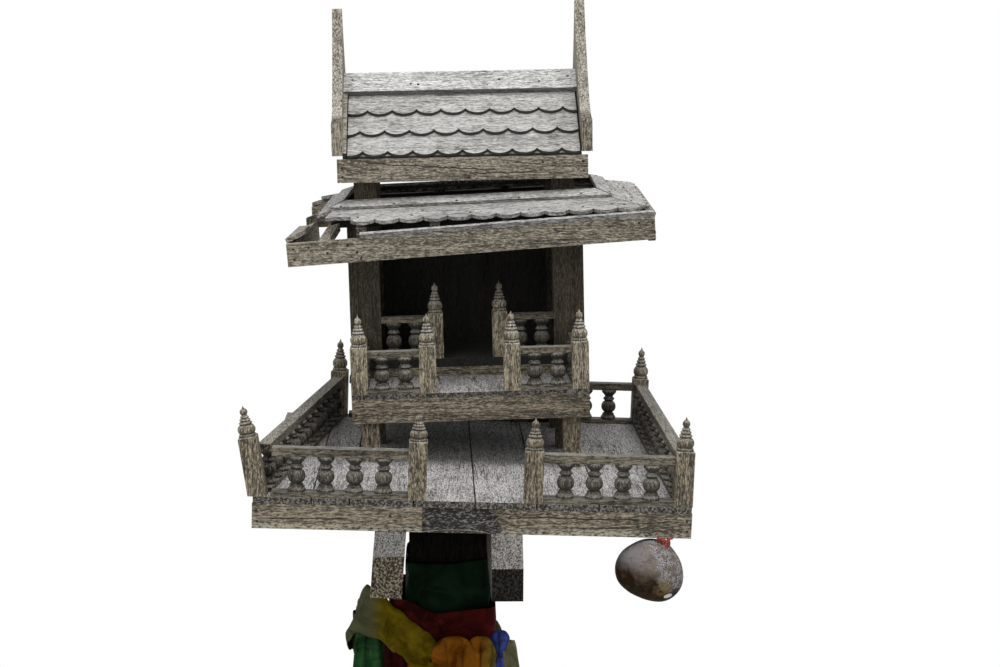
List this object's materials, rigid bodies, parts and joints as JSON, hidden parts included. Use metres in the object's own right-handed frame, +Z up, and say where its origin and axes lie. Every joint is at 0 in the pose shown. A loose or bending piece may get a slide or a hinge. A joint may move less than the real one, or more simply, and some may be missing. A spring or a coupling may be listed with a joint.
{
  "type": "wooden spirit house on a post",
  "caption": "Weathered wooden spirit house with a shingled two-tier roof, balustraded terrace and porch, on a post wrapped in coloured cloth.",
  "frame": {"origin": "middle of the post's foot, at ground level", "axes": "+Z up along the post, +X to the right of the open front, +Y to the back"},
  "size_m": [0.4659, 0.5137, 1.6636],
  "materials": {
    "weathered_teak": "weathered grey",
    "roof_teak": "weathered silver grey",
    "dark_teak": "dark and shaded",
    "gourd_shell": "dull brown shell",
    "red_cord": "twisted cord",
    "green_cotton": "thin cloth",
    "red_cotton": "thin cloth",
    "yellow_cotton": "thin cloth",
    "orange_cotton": "thin cloth"
  },
  "bodies": {
    "root": {"back_balustrade": "weathered_teak", "back_board": "weathered_teak", "back_wall": "dark_teak", "corner_posts": "weathered_teak", "deck_planks": "weathered_teak", "front_board": "weathered_teak", "front_left_balustrade": "weathered_teak", "front_right_balustrade": "weathered_teak", "front_starter_strip": "roof_teak", "gable_panels": "weathered_teak", "gourd": "gourd_shell", "gourd_cord": "red_cord", "green_cloth": "green_cotton", "house_floor": "weathered_teak", "joists": "dark_teak", "leaning_corner_post": "weathered_teak", "left_balustrade": "weathered_teak", "left_beam": "weathered_teak", "left_gable_board": "weathered_teak", "left_wall": "weathered_teak", "orange_cloth": "orange_cotton", "porch_balustrades": "weathered_teak", "porch_boards": "weathered_teak", "porch_floor": "weathered_teak", "porch_legs": "weathered_teak", "porch_posts": "weathered_teak", "post": "dark_teak", "red_cloth": "red_cotton", "ridge_cap": "roof_teak", "right_balustrade": "weathered_teak", "right_beam": "weathered_teak", "right_gable_board": "weathered_teak", "right_wall": "weathered_teak", "roof_back_shingles": "roof_teak", "roof_decking": "dark_teak", "roof_fascias": "weathered_teak", "roof_front_shingles": "roof_teak", "roof_starter_strips": "roof_teak", "side_boards": "weathered_teak", "sill_balustrades": "weathered_teak", "sill_board": "weathered_teak", "sill_posts": "weathered_teak", "skirt_back_fascia": "weathered_teak", "skirt_back_shingles": "roof_teak", "skirt_front_fascia": "weathered_teak", "skirt_front_shingles": "roof_teak", "skirt_left_shingles": "roof_teak", "skirt_rafters": "weathered_teak", "skirt_right_shingles": "roof_teak", "skirt_ring": "dark_teak", "skirt_side_fascias": "weathered_teak", "skirt_top_boards": "roof_teak", "starter_strips": "roof_teak", "terrace_posts": "weathered_teak", "yellow_cloth": "yellow_cotton"}
  },
  "joints": []
}
